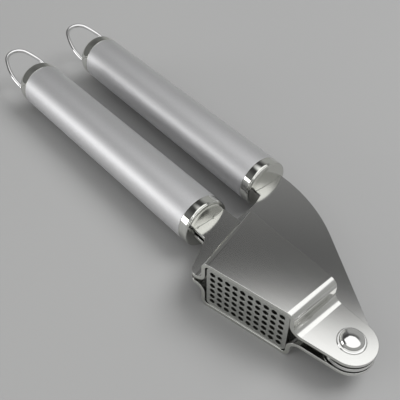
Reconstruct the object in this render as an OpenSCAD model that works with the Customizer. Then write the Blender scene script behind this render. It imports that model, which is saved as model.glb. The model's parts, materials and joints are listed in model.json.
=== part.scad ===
// Side-swinging garlic press, all stainless steel, lying flat.
// Millimetres, +Z up. Built around the pivot axis, then moved so that the
// origin is the bottom centre of the whole press at rest.
// The near arm is the fixed chamber arm, the far arm swings about the pivot.

/* [Handles] */
// Outside diameter of each tubular handle
tube_d = 20; // [19:0.1:20.4]
// Length of each handle tube
tube_len = 108.2; // [100:0.2:120]
// Wall thickness of the handle tubes
tube_wall = 0.8; // [0.6:0.1:0.9]
// Distance from the pivot axis to the front end of a handle tube
tube_front = 72.2; // [72:0.1:74]
// Sideways offset of the far handle from the pivot axis
far_offset = 30.05; // [29.5:0.05:32]
// Angle between the two handles at rest, opening towards the rear
rest_angle = 1.07; // [0.5:0.01:1.6]

/* [End caps] */
// Length of the bright ring at the front of each handle
ring_len = 4.4; // [3.6:0.1:4.6]
// Height of the domed face in front of the ring
boss_h = 0.9; // [0.5:0.1:1.2]
// Radius of the domed face where it leaves the ring
boss_r = 8.7; // [8.5:0.1:9]
// Straight length of the rear cap behind the tube
rear_len = 3.2; // [2.6:0.1:3.8]
// Radius of the rounded shoulder of the rear cap
rear_round = 3.2; // [2.4:0.1:3.6]

/* [Hanging loops] */
// Wire diameter of the hanging loops
wire_d = 1.8; // [1.4:0.1:2]
// How far a loop reaches behind its cap
loop_len = 20.5; // [18.5:0.1:21]
// Radius of the wire's centre line round the tip of a loop
loop_r = 5.8; // [5.4:0.1:6.2]
// Half of the greatest width of a loop between its wire's centre lines
loop_w = 8.4; // [7.9:0.1:8.5]
// Upward tilt of a loop
loop_tilt = 15; // [8:1:18]

/* [Chamber] */
// Thickness of the stamped chamber plates
sheet_t = 1.5; // [1.4:0.05:1.6]
// Radius of the round ends at the pivot
eye_r = 8.4; // [8:0.1:8.6]
// Half of the clear height inside the chamber
chamber_h = 10.3; // [10.2:0.05:10.8]
// Half of the gap between the two plates at the neck and flange
flange_gap = 0.9; // [0.9:0.05:1]
// Half of the gap between the two plates at the pivot
tongue_gap = 1.75; // [1.75:0.05:1.9]
// Angle of the sieve side against the near handle
sieve_angle = 11.85; // [11.5:0.05:12]
// Outer radius of the bends at the top of the chamber
bend_r = 3; // [2.6:0.1:3.1]

/* [Sieve] */
// Thickness of the sieve plate
sieve_t = 1.2; // [1:0.1:1.3]
// Holes along the sieve
sieve_cols = 10; // [8:1:10]
// Rows of holes
sieve_rows = 6; // [5:1:6]
// Spacing of the holes
sieve_pitch = 2.99; // [2.8:0.01:3]
// Diameter of a sieve hole
sieve_hole_d = 2; // [1.5:0.1:2]

/* [Lever and plunger] */
// Thickness of the lever plate
lever_t = 1.5; // [1.4:0.05:1.5]
// Angle the lever can close further from rest
close_angle = 3.5; // [3.2:0.1:3.5]
// Gap left between plunger and sieve when fully closed
close_gap = 0.8; // [0.8:0.05:1]
// Depth of the plunger channel
plunger_depth = 9; // [8:0.5:9.5]
// Sheet thickness of the plunger channel
plunger_t = 1.2; // [1:0.1:1.3]
// Diameter of the plunger pin
plunger_pin_d = 3; // [2.6:0.1:3.2]

/* [Pivot] */
// Shank diameter of the pivot rivet
rivet_d = 6; // [5:0.1:6]
// Diameter of the domed rivet head
rivet_head_d = 8; // [7.6:0.1:8.2]
// Radius of the low dome on top of the rivet head
rivet_dome_r = 8; // [7:0.5:10]
// Outside diameter of the washer under a rivet head
rivet_washer_d = 9.6; // [9:0.1:10.4]

/* [Hidden] */
$fn = 96;
eps = 0.01;

tube_r = tube_d / 2;
tube_ri = tube_r - tube_wall;
spigot_r = tube_ri;
spigot_len = 17;
tube_rear = tube_front + tube_len;
box_o = chamber_h + sheet_t;
flange_o = flange_gap + sheet_t;
tongue_o = tongue_gap + sheet_t;
neck_lo = -6.1;
neck_hi = eye_r;
tang_end = -(tube_front + 15.5);
far_neck = 7.5;
far_neck_lo = 6.1;
far_back = 0.55;
tang_pin_x = [-(tube_front + 5), -(tube_front + 11.5)];
tang_pin_d = 3;

// chamber walls, measured from the pivot axis
left_wall_angle = 13.7;
left_wall_x = -52.3;
right_wall_x = -14.2;
flange_fillet = 2.6;
tongue_fillet = 3.2;

// outline of the near arm's shoulder
flare_p = [-60.0, -9.0];
flare_a = -61.1;
shoulder_r = 3.3;

// sieve and plunger, in a frame turned to the sieve side
sieve_a0 = -50.1;
sieve_a1 = -17.95;
sieve_corner = 2;
sieve_in = 0.3;
sieve_b0 = -eye_r + sieve_in;
sieve_b1 = sieve_b0 + sieve_t;
hole_a0 = -47.6;
plunger_a0 = -49.2;
plunger_a1 = -20.4;
plunger_b0 = sieve_b1 + close_gap;
plunger_h = chamber_h - 0.5;
pin_a = (plunger_a0 + plunger_a1) / 2;
pin_b = plunger_b0 + 5.2;
plunger_turn = sieve_angle - close_angle;

function n_of(a) = [-sin(a), cos(a)];
function dot2(a, b) = a[0] * b[0] + a[1] * b[1];
// crossing of two lines, each given by a normal and its offset
function cross_at(n1, c1, n2, c2) =
    let (d = n1[0] * n2[1] - n1[1] * n2[0])
    [(c1 * n2[1] - c2 * n1[1]) / d, (n1[0] * c2 - n2[0] * c1) / d];
shoulder_c = cross_at(n_of(sieve_angle), shoulder_r - eye_r,
                      n_of(flare_a), dot2(n_of(flare_a), flare_p) + shoulder_r);
shoulder_t1 = shoulder_c - shoulder_r * n_of(flare_a);
shoulder_t2 = shoulder_c - shoulder_r * n_of(sieve_angle);

// whole press, from the pivot to its bounding box
loop_z0 = 0.5;
loop_side = -0.35;
cap_end = -(tube_rear + rear_len + rear_round);
// the legs of a loop are large arcs, level with the handle at loop_u and
// tangent to the tip arc
loop_u = 3;
loop_du = loop_len - loop_r - loop_u;
leg_r = (loop_du * loop_du + loop_w * loop_w - loop_r * loop_r) / (2 * (loop_w - loop_r));
loop_turn = atan2(leg_r - loop_w, loop_du);
loop_base = cap_end + 0.3;
function rot2(p, a) = [p[0] * cos(a) - p[1] * sin(a), p[0] * sin(a) + p[1] * cos(a)];
near_loop_x = loop_base - loop_len * cos(loop_tilt) - wire_d / 2;
far_loop_p = rot2([loop_base - loop_len * cos(loop_tilt) - far_back, far_offset], -rest_angle);
far_rear_p = rot2([-tube_rear - rear_len, far_offset + tube_r], -rest_angle);
box_x0 = min(near_loop_x, far_loop_p[0] - wire_d / 2);
box_x1 = eye_r;
box_y0 = shoulder_c[1] - shoulder_r;
box_y1 = far_rear_p[1];

steel = [0.78, 0.78, 0.77];
satin = [0.80, 0.80, 0.81];
bright = [0.70, 0.70, 0.67];
dark = [0.45, 0.45, 0.44];

module place() {
    translate([-(box_x0 + box_x1) / 2, -(box_y0 + box_y1) / 2, box_o]) children();
}
// children are drawn along +X of the far handle, in pivot coordinates
module far_arm() { rotate([0, 0, -rest_angle]) children(); }
module far_handle() { far_arm() translate([-far_back, far_offset, 0]) children(); }
module plunger_frame() { rotate([0, 0, plunger_turn]) children(); }
module sieve_frame() { rotate([0, 0, sieve_angle]) children(); }

// ---------- chamber plates ----------
// area under a step from height lo up to height hi at x = 0, rising to the right.
// The foot has a hollow fillet of radius rf, the shoulder a round of radius rs.
module step_area(lo, hi, rf, rs) {
    difference() {
        union() {
            translate([-120, -1]) square([240, 1 + lo]);
            translate([-rf, -1]) square([rf + rs, 1 + lo + rf]);
            translate([0, -1]) square([120, 1 + hi - rs]);
            translate([rs, -1]) square([120, 1 + hi]);
            translate([rs, hi - rs]) circle(r = rs);
        }
        translate([-rf, lo + rf]) circle(r = rf);
    }
}
module sweep_y() { translate([0, 60, 0]) rotate([90, 0, 0]) linear_extrude(120) children(); }
// solid under the outer or inner skin of one half of the chamber
module chamber_under(flange_z, roof_z, tongue_z, left_x, right_x, rf_l, rf_r, rs) {
    intersection() {
        rotate([0, 0, left_wall_angle]) sweep_y() translate([left_x, 0])
            step_area(flange_z, roof_z, rf_l, rs);
        sweep_y() translate([right_x, 0]) mirror([1, 0])
            step_area(tongue_z, roof_z, rf_r, rs);
    }
}
module near_outline() {
    polygon([[tang_end, neck_hi], [tang_end, neck_lo], [-62.4, neck_lo], [-61.7, -6.35],
             [-61.2, -6.9], flare_p, shoulder_t1, shoulder_t2,
             [eye_r * sin(sieve_angle), -eye_r * cos(sieve_angle)], [0, eye_r],
             [-15, eye_r + 0.15], [-55, eye_r + 0.65], [-66.5, eye_r + 0.4], [-67.3, neck_hi]]);
    circle(r = eye_r);
    translate(shoulder_c) circle(r = shoulder_r);
}
module chamber_half() {
    difference() {
        intersection() {
            linear_extrude(30) near_outline();
            chamber_under(flange_o, box_o, tongue_o, left_wall_x, right_wall_x,
                          flange_fillet, tongue_fillet, bend_r);
        }
        chamber_under(flange_gap, chamber_h, tongue_gap, left_wall_x + sheet_t,
                      right_wall_x - sheet_t, flange_fillet + sheet_t,
                      tongue_fillet + sheet_t, bend_r - sheet_t);
        translate([0, 0, -1]) cylinder(d = rivet_d, h = 10);
        for (x = tang_pin_x) translate([x, 0, -1]) cylinder(d = tang_pin_d, h = 10);
    }
}
module top_chamber_plate() { color(steel) place() chamber_half(); }
module bottom_chamber_plate() { color(steel) place() mirror([0, 0, 1]) chamber_half(); }

// ---------- sieve ----------
module sieve_plate() {
    color(bright) place() sieve_frame() difference() {
        translate([0, sieve_b0 + sieve_t, 0]) rotate([90, 0, 0]) linear_extrude(sieve_t) {
            translate([sieve_a0, -chamber_h + sieve_corner])
                square([sieve_a1 - sieve_a0, 2 * (chamber_h - sieve_corner)]);
            translate([sieve_a0 + sieve_corner, -chamber_h])
                square([sieve_a1 - sieve_a0 - 2 * sieve_corner, 2 * chamber_h]);
            for (a = [sieve_a0 + sieve_corner, sieve_a1 - sieve_corner], s = [-1, 1])
                translate([a, s * (chamber_h - sieve_corner)]) circle(r = sieve_corner);
        }
        for (i = [0 : sieve_cols - 1], j = [0 : sieve_rows - 1])
            translate([hole_a0 + i * sieve_pitch, sieve_b0 - 1,
                       (j - (sieve_rows - 1) / 2) * sieve_pitch])
                rotate([-90, 0, 0]) cylinder(d = sieve_hole_d, h = sieve_t + 2, $fn = 32);
    }
}

// ---------- handles, drawn along X about the handle axis ----------
module tube() {
    color(satin) translate([-tube_rear, 0, 0]) rotate([0, 90, 0]) difference() {
        cylinder(r = tube_r, h = tube_len);
        translate([0, 0, -1]) cylinder(r = tube_ri, h = tube_len + 2);
    }
}
// ring, domed face and spigot turned as one piece; the slot takes the plates
module front_cap(slot_lo, slot_hi, slot_z) {
    xf = -(tube_front - ring_len);
    rr = tube_r - boss_r - 0.05;
    dome_r = (boss_r * boss_r + boss_h * boss_h) / (2 * boss_h);
    color(bright) difference() {
        union() {
            translate([-tube_front, 0, 0]) rotate([0, 90, 0]) {
                translate([0, 0, -spigot_len]) cylinder(r = spigot_r, h = spigot_len);
                rotate_extrude() {
                    square([tube_r, ring_len - rr]);
                    translate([0, ring_len - rr]) square([tube_r - rr, rr]);
                    translate([tube_r - rr, ring_len - rr]) intersection() {
                        circle(r = rr, $fn = 48);
                        square(rr);
                    }
                }
            }
            translate([xf, 0, 0]) rotate([0, 90, 0]) rotate_extrude() intersection() {
                translate([0, boss_h - dome_r]) circle(r = dome_r, $fn = 180);
                translate([0, -1]) square([boss_r + 1, boss_h + 2]);
            }
        }
        translate([tang_end - 0.3, slot_lo, -slot_z]) cube([80, slot_hi - slot_lo, 2 * slot_z]);
        for (x = tang_pin_x) translate([x, 0, -20]) cylinder(d = tang_pin_d, h = 40);
    }
}
// wire loop: two legs and a round tip, tilted up behind the cap
module loop_place() {
    translate([loop_base, loop_side, loop_z0]) rotate([0, loop_tilt, 0]) rotate([0, 0, 180]) children();
}
// arc of wire in the loop's plane: centre, radius, start angle, sweep
module wire_arc(c, r, a, sweep, d) {
    translate(c) rotate([0, 0, a]) rotate_extrude(angle = sweep) translate([r, 0])
        circle(d = d, $fn = 48);
}
module loop_leg(s) {
    a0 = loop_turn - 1;
    a1 = 90 + asin(6 / leg_r);
    if (s > 0) wire_arc([loop_u, loop_w - leg_r, 0], leg_r, a0, a1 - a0, wire_d - 0.04);
    else wire_arc([loop_u, leg_r - loop_w, 0], leg_r, -a1, a1 - a0, wire_d - 0.04);
}
module hanging_loop() {
    color(steel) loop_place() {
        loop_leg(1);
        loop_leg(-1);
        wire_arc([loop_len - loop_r, 0, 0], loop_r, -loop_turn, 2 * loop_turn, wire_d);
    }
}
module rear_cap() {
    color(bright) difference() {
        translate([-tube_rear, 0, 0]) rotate([0, -90, 0]) rotate_extrude() {
            square([tube_r, rear_len]);
            square([tube_r - rear_round, rear_len + rear_round]);
            translate([tube_r - rear_round, rear_len]) intersection() {
                circle(r = rear_round);
                square(rear_round);
            }
            translate([0, -8]) square([spigot_r, 8]);
        }
        translate([-tube_rear + 1.5, 0, 0]) rotate([0, 90, 0]) cylinder(r = spigot_r - 1, h = 10);
        loop_place() { loop_leg(1); loop_leg(-1); }
    }
}
module tang_pins() {
    color(steel) for (x = tang_pin_x) translate([x, 0, -spigot_pin])
        cylinder(d = tang_pin_d, h = 2 * spigot_pin);
}
spigot_pin = spigot_r - 0.25;

module near_handle_tube() { place() tube(); }
module near_front_cap() { place() front_cap(neck_lo - 0.05, neck_hi + 0.05, flange_o); }
module near_rear_cap() { place() rear_cap(); }
module near_hanging_loop() { place() hanging_loop(); }
module near_tang_pins() { place() tang_pins(); }
// fills the gap between the two tangs inside the cap
module near_tang_spacer() {
    color(dark) place() difference() {
        translate([tang_end, neck_lo + 1, -flange_gap])
            cube([-(tube_front - 2) - tang_end, neck_hi - neck_lo - 2, 2 * flange_gap]);
        for (x = tang_pin_x) translate([x, 0, -5]) cylinder(d = tang_pin_d, h = 10);
    }
}
module far_handle_tube() { place() far_handle() tube(); }
module far_front_cap() {
    place() far_handle() front_cap(-far_neck_lo - 0.05, far_neck + 0.05, lever_t / 2);
}
module far_rear_cap() { place() far_handle() rear_cap(); }
module far_hanging_loop() { place() far_handle() hanging_loop(); }
module far_tang_pins() { place() far_handle() tang_pins(); }

// ---------- pivot ----------
module rivet_head() {
    // low dome that runs smoothly into a round shoulder
    r = rivet_head_d / 2;
    rs = 1.7;
    foot = 0.15;
    ta = asin((r - rs) / (rivet_dome_r - rs));
    zd = foot + (rs - rivet_dome_r) * cos(ta);
    rotate_extrude() {
        square([r, foot]);
        translate([r - rs, foot]) intersection() { circle(r = rs, $fn = 96); square(rs); }
        intersection() {
            translate([0, zd]) circle(r = rivet_dome_r, $fn = 180);
            square([rivet_dome_r * sin(ta), 5]);
        }
    }
}
module pivot_rivet() {
    color(bright) place() {
        translate([0, 0, -tongue_o - 0.5]) cylinder(d = rivet_d, h = 2 * tongue_o + 1);
        for (s = [0, 1]) mirror([0, 0, s]) translate([0, 0, tongue_o + 0.5]) rivet_head();
    }
}
module rivet_washer() {
    r = rivet_washer_d / 2;
    translate([0, 0, tongue_o]) rotate_extrude() {
        translate([rivet_d / 2, 0]) square([r - 0.4 - rivet_d / 2, 0.5]);
        square_lip(r);
    }
}
module square_lip(r) {
    translate([r - 0.4, 0]) square([0.4, 0.1]);
    translate([r - 0.4, 0.1]) intersection() { circle(r = 0.4, $fn = 48); square(0.4); }
}
module upper_rivet_washer() { color(steel) place() rivet_washer(); }
module lower_rivet_washer() { color(steel) place() mirror([0, 0, 1]) rivet_washer(); }
module spacer_washer() {
    translate([0, 0, lever_t / 2 + 0.05]) difference() {
        cylinder(r = eye_r - 2.4, h = tongue_gap - lever_t / 2 - 0.05);
        translate([0, 0, -1]) cylinder(d = rivet_d, h = 4);
    }
}
module upper_spacer_washer() { color(dark) place() spacer_washer(); }
module lower_spacer_washer() { color(dark) place() mirror([0, 0, 1]) spacer_washer(); }

// ---------- lever plate ----------
lever_slope = -29.7;
lever_arc_r = 65;
lever_top = far_offset + far_neck;
// centre of the large arc that joins the neck to the straight outer edge
arc_c = cross_at([0, 1], lever_top - lever_arc_r,
                 n_of(lever_slope), eye_r - lever_arc_r);
arc_t1 = [arc_c[0], lever_top];
arc_t2 = arc_c + lever_arc_r * n_of(lever_slope);
eye_t = eye_r * n_of(lever_slope);
module lever_outline() {
    // the middle run of points is the finger that reaches into the plunger channel
    polygon([[tang_end, lever_top], [tang_end, far_offset - far_neck_lo],
             [-65.2, far_offset - far_neck_lo], [-64.3, 21.9], [-63.6, 20.1], [-63.1, 18.4],
             [-62.4, 13.5], [-61.9, 7.4], [-60.3, 5.6], [-50.5, 3.0],
             for (p = [[-47.5, 10.7], [-47.5, plunger_b0 + 4.6], [-45, plunger_b0 + 2.1],
                       [-12, plunger_b0 + 2.1], [-4, -4]])
                 rot2(p, plunger_turn + rest_angle),
             [0, 0], eye_t, arc_t2, arc_t1]);
    // the bulge of the large arc beyond its chord
    intersection() {
        translate(arc_c) circle(r = lever_arc_r, $fn = 360);
        polygon([arc_t2 - 4 * n_of(lever_slope), arc_t2 + 5 * n_of(lever_slope),
                 arc_t1 + [0, 5], arc_t1 - [0, 4]]);
    }
    circle(r = eye_r);
}
module lever_plate() {
    color(steel) place() difference() {
        far_arm() translate([0, 0, -lever_t / 2]) linear_extrude(lever_t) lever_outline();
        translate([0, 0, -5]) cylinder(d = rivet_d + 0.1, h = 10);
        plunger_frame() translate([pin_a, pin_b, -5]) cylinder(d = plunger_pin_d + 0.1, h = 10);
        far_handle() for (x = tang_pin_x) translate([x, 0, -5]) cylinder(d = tang_pin_d, h = 10);
    }
}

// ---------- plunger ----------
module plunger_profile() {
    // section across the channel: depth along X, height along Y
    r = 1.8;
    difference() {
        union() {
            translate([r, -plunger_h]) square([plunger_depth - r, 2 * plunger_h]);
            translate([0, -plunger_h + r]) square([r + eps, 2 * (plunger_h - r)]);
            for (s = [-1, 1]) translate([r, s * (plunger_h - r)]) circle(r = r);
        }
        union() {
            ri = r - plunger_t;
            translate([r, -plunger_h + plunger_t]) square([20, 2 * (plunger_h - plunger_t)]);
            translate([plunger_t, -plunger_h + r]) square([r, 2 * (plunger_h - r)]);
            for (s = [-1, 1]) translate([r, s * (plunger_h - r)]) circle(r = ri);
        }
    }
}
module plunger_channel() {
    color(steel) place() plunger_frame() difference() {
        translate([plunger_a0, plunger_b0, 0]) rotate([90, 0, 90])
            linear_extrude(plunger_a1 - plunger_a0) plunger_profile();
        translate([pin_a, pin_b, -20]) cylinder(d = plunger_pin_d, h = 40);
    }
}
module plunger_pin() {
    color(bright) place() plunger_frame() translate([pin_a, pin_b, -plunger_h])
        cylinder(d = plunger_pin_d, h = 2 * plunger_h);
}
module plunger_spacers() {
    h = plunger_h - plunger_t - lever_t / 2 - 0.1;
    color(dark) place() plunger_frame() for (s = [0, 1]) mirror([0, 0, s])
        translate([pin_a, pin_b, lever_t / 2 + 0.1]) difference() {
            cylinder(d = plunger_pin_d + 3.2, h = h);
            translate([0, 0, -1]) cylinder(d = plunger_pin_d, h = h + 2);
        }
}

top_chamber_plate();
bottom_chamber_plate();
sieve_plate();
near_handle_tube();
near_front_cap();
near_rear_cap();
near_hanging_loop();
near_tang_spacer();
near_tang_pins();
pivot_rivet();
upper_rivet_washer();
lower_rivet_washer();
upper_spacer_washer();
lower_spacer_washer();
lever_plate();
far_handle_tube();
far_front_cap();
far_rear_cap();
far_hanging_loop();
far_tang_pins();
plunger_channel();
plunger_pin();
plunger_spacers();
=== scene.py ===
import json
import math

import bmesh
import bpy
from mathutils import Matrix, Vector


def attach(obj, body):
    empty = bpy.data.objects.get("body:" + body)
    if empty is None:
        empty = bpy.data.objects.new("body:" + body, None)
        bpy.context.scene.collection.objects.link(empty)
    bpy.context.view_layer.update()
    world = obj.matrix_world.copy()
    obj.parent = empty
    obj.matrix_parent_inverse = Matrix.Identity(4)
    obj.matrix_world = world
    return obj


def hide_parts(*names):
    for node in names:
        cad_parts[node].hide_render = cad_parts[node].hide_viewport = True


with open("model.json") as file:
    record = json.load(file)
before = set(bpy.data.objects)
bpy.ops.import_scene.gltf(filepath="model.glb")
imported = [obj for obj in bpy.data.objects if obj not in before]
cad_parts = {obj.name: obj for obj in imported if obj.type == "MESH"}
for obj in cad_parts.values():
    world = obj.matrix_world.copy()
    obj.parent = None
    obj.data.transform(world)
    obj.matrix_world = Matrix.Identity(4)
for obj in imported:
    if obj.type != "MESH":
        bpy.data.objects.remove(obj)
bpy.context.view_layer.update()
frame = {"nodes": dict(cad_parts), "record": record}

MM = 0.001
scene = bpy.context.scene
scene.view_settings.view_transform = "Standard"
scene.view_settings.look = "None"

# ------------------------------------------------------------------ camera
YAW, PITCH, ROLL = (math.radians(a) for a in (48.869, 46.764, -0.151))
right = Vector((math.cos(YAW), math.sin(YAW), 0))
back = Vector((math.sin(YAW) * math.cos(PITCH), -math.cos(YAW) * math.cos(PITCH), math.sin(PITCH)))
up = back.cross(right)
r2 = right * math.cos(ROLL) + up * math.sin(ROLL)
u2 = -right * math.sin(ROLL) + up * math.cos(ROLL)
cam_data = bpy.data.cameras.new("camera")
cam_data.sensor_width = 36.0
cam_data.lens = 56.44
cam_data.clip_start = 0.005
cam_data.clip_end = 50
cam = bpy.data.objects.new("camera", cam_data)
cam.matrix_world = Matrix(((r2.x, u2.x, back.x, 0.14485), (r2.y, u2.y, back.y, -0.11405),
                           (r2.z, u2.z, back.z, 0.18704), (0, 0, 0, 1)))
scene.collection.objects.link(cam)
scene.camera = cam


# ------------------------------------------------------------------ node helpers
class Nodes:
    """Small helper to wire shader nodes."""

    def __init__(self, tree):
        self.t = tree

    def new(self, kind, **props):
        n = self.t.nodes.new(kind)
        for k, v in props.items():
            setattr(n, k, v)
        return n

    def put(self, node, name, value):
        sock = node.inputs[name]
        if isinstance(value, bpy.types.NodeSocket):
            self.t.links.new(value, sock)
        else:
            sock.default_value = value

    def math(self, op, a, b=None, c=None, clamp=False):
        n = self.new("ShaderNodeMath", operation=op, use_clamp=clamp)
        for i, v in enumerate((a, b, c)):
            if v is not None:
                self.put(n, i, v)
        return n.outputs[0]

    def ramp(self, v, lo, hi, out_lo=0.0, out_hi=1.0, smooth=True):
        n = self.new("ShaderNodeMapRange", interpolation_type="SMOOTHSTEP" if smooth else "LINEAR", clamp=True)
        for i, x in enumerate((v, lo, hi, out_lo, out_hi)):
            self.put(n, i, x)
        return n.outputs[0]

    def mix(self, fac, a, b):
        """(1 - fac) * a + fac * b on numbers"""
        n = self.new("ShaderNodeMix", data_type="FLOAT")
        self.put(n, 0, fac)
        self.put(n, 2, a)
        self.put(n, 3, b)
        return n.outputs[0]

    def mixc(self, fac, a, b, blend="MIX"):
        n = self.new("ShaderNodeMix", data_type="RGBA", blend_type=blend)
        self.put(n, 0, fac)
        self.put(n, 6, a)
        self.put(n, 7, b)
        return n.outputs[2]

    def noise(self, vec, scale, detail=2.0, rough=0.5, dist=0.0):
        n = self.new("ShaderNodeTexNoise")
        self.put(n, "Vector", vec)
        self.put(n, "Scale", scale)
        self.put(n, "Detail", detail)
        self.put(n, "Roughness", rough)
        self.put(n, "Distortion", dist)
        return n.outputs["Fac"]

    def scaled(self, vec, s, rot=(0, 0, 0)):
        n = self.new("ShaderNodeMapping")
        self.put(n, "Vector", vec)
        n.inputs["Scale"].default_value = s
        n.inputs["Rotation"].default_value = rot
        return n.outputs[0]


# ------------------------------------------------------------------ world: a grey studio seen in the steel
world = bpy.data.worlds.new("studio")
scene.world = world
world.use_nodes = True
wt = world.node_tree
wt.nodes.clear()
W = Nodes(wt)
coord = W.new("ShaderNodeTexCoord")
sep = W.new("ShaderNodeSeparateXYZ")
wt.links.new(coord.outputs["Generated"], sep.inputs[0])
x, y, z = sep.outputs
el = W.math("MULTIPLY", W.math("ARCSINE", z), 57.29578)
az = W.math("MULTIPLY", W.math("ARCTAN2", y, x), 57.29578)


def window(v, lo, hi, soft):
    """1 between lo and hi, with soft edges"""
    a = W.ramp(v, lo - soft, lo + soft)
    b = W.ramp(v, hi - soft, hi + soft, 1.0, 0.0)
    return W.math("MULTIPLY", a, b)


def both(a, b):
    return W.math("MULTIPLY", a, b)


def turn(v, centre):
    """azimuth measured from centre, always between -180 and 180"""
    return W.math("WRAP", W.math("SUBTRACT", v, centre), 180.0, -180.0)


# low ring of the room: lighter on the side towards +Y, dark behind the handles
rear = window(turn(az, 180.0), -41.0, 66.0, 5.0)
level = W.mix(rear, 0.41, 0.17)
# the wall gets darker upwards behind the press
high = both(window(turn(az, 180.0), -105.0, 62.0, 12.0), W.ramp(el, 36.0, 50.5, smooth=False))
level = W.mix(high, level, W.mix(rear, 0.10, 0.06))
# the large overhead light fades in upwards; its edge drops towards the camera
fall = W.math("POWER", W.ramp(az, 30.0, 112.0, 1.0, 0.0, smooth=False), 3.0)
drop = W.mix(window(turn(az, 0.0), -104.0, 150.0, 10.0), 0.0, W.math("ADD", W.math("MULTIPLY", fall, 17.0), W.ramp(az, 107.0, 116.5, 1.8, 0.0)))
lift = W.math("MULTIPLY", window(turn(az, 180.0), -34.0, 74.0, 6.0), 3.5)
height = W.math("SUBTRACT", W.math("ADD", el, drop), lift)
top = W.math("POWER", W.ramp(height, 52.5, 58.0, smooth=False), 2.0)
level = W.mix(top, level, 1.38)
# everything below the table line
level = W.mix(W.ramp(el, -6.0, -1.0), 0.41, level)
bg = W.new("ShaderNodeBackground")
tint = W.mixc(W.ramp(el, -10.0, 60.0), (0.985, 1.0, 0.965, 1), (1.0, 1.0, 1.0, 1))
W.put(bg, "Color", tint)
# the room lights the floor a little less than it shows in the steel
path = W.new("ShaderNodeLightPath")
W.put(bg, "Strength", W.math("MULTIPLY", level, W.mix(path.outputs["Is Diffuse Ray"], 1.0, 0.70)))
out = W.new("ShaderNodeOutputWorld")
wt.links.new(bg.outputs[0], out.inputs[0])


def area(name, loc, target, size, power, glossy=False, size_y=None, spread=180):
    d = bpy.data.lights.new(name, "AREA")
    d.energy = power
    d.shape = "RECTANGLE"
    d.size = size
    d.size_y = size_y or size
    d.spread = math.radians(spread)
    o = bpy.data.objects.new(name, d)
    v = Vector(target) - Vector(loc)
    o.location = loc
    o.rotation_euler = v.to_track_quat("-Z", "Y").to_euler()
    o.visible_glossy = glossy
    o.visible_camera = False
    scene.collection.objects.link(o)
    return o


def polar(a, e, r):
    a, e = math.radians(a), math.radians(e)
    return (r * math.cos(e) * math.cos(a), r * math.cos(e) * math.sin(a), r * math.sin(e))


key = area("key", polar(62, 58, 1.3), (0, 0, 0), 0.75, 11.8)
# a long low softbox on the camera's left, seen in the steel and lighting the floor like any other light
area("softbox", polar(-126, 11, 1.6), (0.0, 0.0, 0.01), 0.66, 4.9, glossy=True, size_y=0.60)
area("fill", polar(-118, 34, 1.4), (0, 0, 0), 0.9, 2.2)

# ------------------------------------------------------------------ floor
bm = bmesh.new()
bmesh.ops.create_grid(bm, x_segments=8, y_segments=8, size=4.0)
me = bpy.data.meshes.new("floor")
bm.to_mesh(me)
bm.free()
floor = bpy.data.objects.new("floor", me)
scene.collection.objects.link(floor)


# ------------------------------------------------------------------ materials
def material(name, color, rough, metallic=1.0, spec=None):
    m = bpy.data.materials.new(name)
    m.use_nodes = True
    t = m.node_tree
    t.nodes.clear()
    n = Nodes(t)
    b = n.new("ShaderNodeBsdfPrincipled")
    b.inputs["Base Color"].default_value = (*color, 1)
    b.inputs["Metallic"].default_value = metallic
    b.inputs["Roughness"].default_value = rough
    o = n.new("ShaderNodeOutputMaterial")
    t.links.new(b.outputs[0], o.inputs[0])
    return m, n, b


def obj_coord(n):
    return n.new("ShaderNodeTexCoord").outputs["Object"]


def bump(n, b, height, strength, distance):
    k = n.new("ShaderNodeBump")
    n.put(k, "Height", height)
    n.put(k, "Strength", strength)
    n.put(k, "Distance", distance)
    n.t.links.new(k.outputs[0], b.inputs["Normal"])


def steel(name, color, rough, grain_scale, grain=0.04, rough_var=0.03, wear=0.04, scratch=0.0, bump_mm=0.0006,
          rot=(0, 0, 0)):
    """Steel with a directional grain, cloudy finish and fine scratches. grain_scale is the noise scale along x, y, z per metre."""
    m, n, b = material(name, color, rough)
    c = obj_coord(n)
    g = n.noise(n.scaled(c, grain_scale, rot), 1.0, 3.0, 0.6)
    cloud = n.noise(c, 42.0, 3.0, 0.55)
    spots = n.noise(c, 260.0, 2.0, 0.6)
    dark = tuple(v * (1 - wear) for v in color)
    col = n.mixc(n.ramp(cloud, 0.35, 0.7), (*dark, 1), (*color, 1))
    light = tuple(min(1.0, v * (1 + grain)) for v in color)
    shade = tuple(v * (1 - grain) for v in color)
    gcol = n.mixc(n.ramp(g, 0.3, 0.7), (*shade, 1), (*light, 1))
    n.put(b, "Base Color", n.mixc(0.5, col, gcol))
    r = n.math("ADD", rough - rough_var, n.math("MULTIPLY", n.mix(0.4, g, spots), 2 * rough_var))
    if scratch:
        lines = n.noise(n.scaled(c, (grain_scale[0] * 0.35, grain_scale[1] * 2.2, grain_scale[2] * 2.2), (0.1, 0.2, 0.5)), 1.0, 1.0, 0.5)
        r = n.math("ADD", r, n.ramp(lines, 0.70, 0.80, 0.0, scratch))
    n.put(b, "Roughness", r)
    bump(n, b, g, 1.0, bump_mm * MM)
    return m


SIEVE_DIR = (0.2053, -0.9787, 0.0)


def facing(n, direction):
    """how far a face looks along a direction of the part, -1 to 1"""
    d = n.new("ShaderNodeVectorMath", operation="DOT_PRODUCT")
    n.t.links.new(n.new("ShaderNodeTexCoord").outputs["Normal"], d.inputs[0])
    d.inputs[1].default_value = direction
    return d.outputs["Value"]


def shaded(mat, mask_of, factor, rough=None):
    """darkens, and roughens, the faces picked by mask_of"""
    n = Nodes(mat.node_tree)
    b = next(k for k in mat.node_tree.nodes if k.type == "BSDF_PRINCIPLED")
    mask = mask_of(n)
    col = b.inputs["Base Color"].links[0].from_socket
    n.put(b, "Base Color", n.mixc(mask, col, (*factor, 1), "MULTIPLY"))
    if rough is not None:
        r = b.inputs["Roughness"].links[0].from_socket
        n.put(b, "Roughness", n.mix(mask, r, rough))


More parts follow.
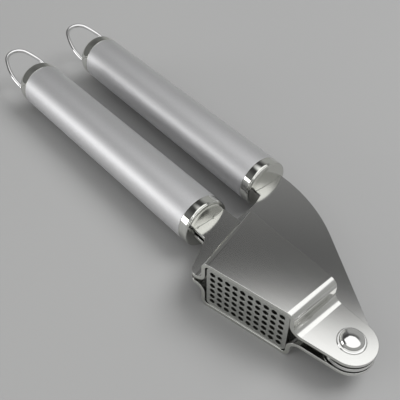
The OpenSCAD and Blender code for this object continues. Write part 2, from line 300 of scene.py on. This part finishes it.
M = {}
M["satin_tube"] = steel("satin_tube", (0.74, 0.74, 0.75), 0.52, (900, 5200, 5200), 0.05, 0.03, 0.03, 0.0, 0.004)
M["chrome_cap"] = steel("chrome_cap", (0.70, 0.705, 0.67), 0.055, (300, 2600, 2600), 0.02, 0.012, 0.03, 0.05, 0.0004)
M["polished_sheet"] = steel("polished_sheet", (0.735, 0.735, 0.715), 0.12, (120, 900, 900), 0.015, 0.006, 0.03, 0.0, 0.0)
M["lever_sheet"] = steel("lever_sheet", (0.735, 0.735, 0.72), 0.11, (3000, 260, 3000), 0.015, 0.006, 0.03, 0.0, 0.00002)
M["cut_edge"] = steel("cut_edge", (0.66, 0.67, 0.64), 0.34, (4200, 4200, 500), 0.08, 0.06, 0.06, 0.0, 0.004)
M["sieve_steel"] = steel("sieve_steel", (0.62, 0.63, 0.60), 0.26, (700, 2600, 2600), 0.05, 0.05, 0.06, 0.05, 0.002)
M["loop_wire"] = steel("loop_wire", (0.76, 0.76, 0.76), 0.10, (900, 900, 900), 0.03, 0.02, 0.03, 0.05, 0.0006)
M["rivet_steel"] = steel("rivet_steel", (0.76, 0.76, 0.75), 0.07, (1200, 1200, 1200), 0.02, 0.015, 0.03, 0.04, 0.0004)
M["plunger_steel"] = steel("plunger_steel", (0.66, 0.66, 0.65), 0.20, (500, 3200, 3200), 0.04, 0.04, 0.05, 0.05, 0.001)
M["inner_steel"] = steel("inner_steel", (0.50, 0.50, 0.49), 0.36, (2000, 2000, 2000), 0.08, 0.06, 0.10, 0.0, 0.003)

# painted shade: the punched holes and the rim of the sieve are dark inside because the faces that do not look along the
# sieve get their base colour darkened to 0.13 and are roughened
shaded(M["sieve_steel"], lambda n: n.ramp(n.math("ABSOLUTE", facing(n, SIEVE_DIR)), 0.55, 0.92, 1.0, 0.0), (0.13, 0.13, 0.125), 0.45)
# the domed front faces of the caps are a little duller than their rims
shaded(M["chrome_cap"], lambda n: n.ramp(facing(n, (1.0, 0.0, 0.0)), 0.80, 0.93), (0.93, 0.93, 0.92), 0.17)
# the blanked edges of the sheet are duller than its faces; the edges that face +Y, towards the lever, get painted
# shade: their base colour is darkened to 0.22 to draw a dark line along the roof's far edge
shaded(M["polished_sheet"], lambda n: n.ramp(facing(n, SIEVE_DIR), 0.80, 0.96), (0.97, 0.98, 0.95), 0.36)
shaded(M["polished_sheet"], lambda n: n.ramp(facing(n, (0.0, 1.0, 0.0)), 0.12, 0.30), (0.22, 0.22, 0.21), 0.30)

fm, fn, fb = material("floor", (0.36, 0.36, 0.36), 0.65, 0.0)
fc = obj_coord(fn)
fn.put(fb, "Base Color", fn.mixc(fn.ramp(fn.noise(fc, 3.0, 2.0), 0.3, 0.7), (0.345, 0.345, 0.345, 1), (0.36, 0.36, 0.358, 1)))
fb.inputs["Specular IOR Level"].default_value = 0.15
floor.data.materials.append(fm)

# ------------------------------------------------------------------ pieces
SLOT = {s["node"]: s["material_slot"] for s in frame["record"]["subparts"]}
BODY = {n: b for b, ns in frame["record"]["behaviour"]["bodies"].items() for n in ns}


def softened(node, width, segments=2, angle=28.0, edge_faces=None):
    """A finished copy of a CAD node: welded, planar faces joined, and every sharp edge rounded."""
    src = frame["nodes"][node]
    bm = bmesh.new()
    bm.from_mesh(src.data)
    bmesh.ops.remove_doubles(bm, verts=bm.verts, dist=2e-6)
    bmesh.ops.dissolve_limit(bm, angle_limit=math.radians(0.6), use_dissolve_boundaries=False,
                             verts=bm.verts, edges=bm.edges)
    for f in bm.faces:
        f.smooth = True
    me = bpy.data.meshes.new(node + "_finished")
    bm.to_mesh(me)
    bm.free()
    o = bpy.data.objects.new(node + "_finished", me)
    scene.collection.objects.link(o)
    mod = o.modifiers.new("round", "BEVEL")
    mod.width = width * MM
    mod.segments = segments
    mod.limit_method = "ANGLE"
    mod.angle_limit = math.radians(angle)
    mod.use_clamp_overlap = False
    mod.miter_outer = "MITER_ARC"
    mod.harden_normals = False
    wn = o.modifiers.new("normals", "WEIGHTED_NORMAL")
    wn.mode = "FACE_AREA_WITH_ANGLE"
    wn.weight = 80
    dg = bpy.context.evaluated_depsgraph_get()
    done = bpy.data.meshes.new_from_object(o.evaluated_get(dg))
    o.modifiers.clear()
    o.data = done
    done.materials.clear()
    done.materials.append(M[SLOT[node]])
    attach(o, BODY[node])
    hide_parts(node)
    return o


for name, o in frame["nodes"].items():
    o.data.materials.clear()
    o.data.materials.append(M[SLOT[name]])

ROUND = {"top_chamber_plate": (0.12, 3), "bottom_chamber_plate": (0.12, 3), "lever_plate": (0.12, 3),
         "sieve_plate": (0.20, 3), "near_front_cap": (0.22, 3), "far_front_cap": (0.22, 3),
         "near_rear_cap": (0.16, 2), "far_rear_cap": (0.16, 2), "near_handle_tube": (0.16, 3),
         "far_handle_tube": (0.16, 3), "plunger_channel": (0.14, 2)}
pieces = {n: softened(n, *v) for n, v in ROUND.items()}
